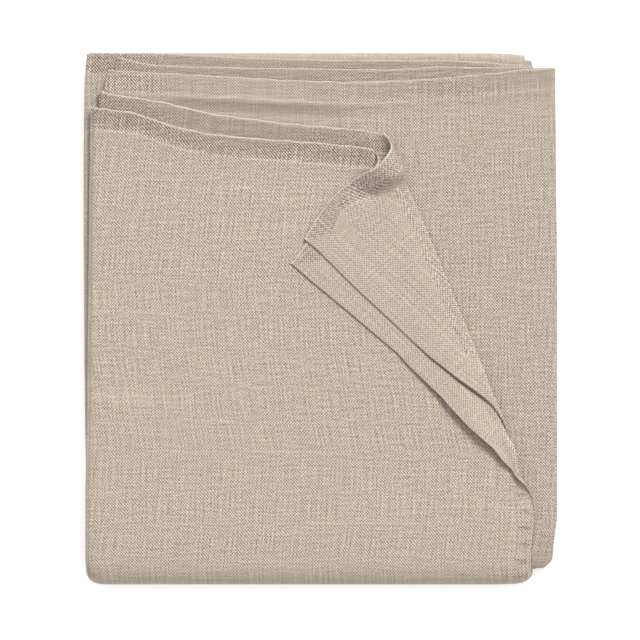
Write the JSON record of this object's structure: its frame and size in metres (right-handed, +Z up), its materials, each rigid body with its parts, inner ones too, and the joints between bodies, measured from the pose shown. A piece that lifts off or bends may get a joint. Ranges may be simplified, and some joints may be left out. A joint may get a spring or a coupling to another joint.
{
  "type": "folded tablecloth",
  "caption": "Hemmed linen tablecloth folded into a flat rectangular pack, its layers stepped at one end and the loose corner of the top layers turned over; rests on a table or shelf.",
  "frame": {"origin": "centre of the bounding box in plan, on the flat underside that the pack rests on", "axes": "+Z up out of the pack, +Y from the folded front towards the end with the hemmed edges, +X to the side that the turned corner comes from"},
  "size_m": [0.3298, 0.3714, 0.033],
  "materials": {
    "linen": "washed natural beige linen in plain weave, matt, with slubs"
  },
  "bodies": {
    "root": {"tablecloth": "linen"}
  },
  "joints": []
}
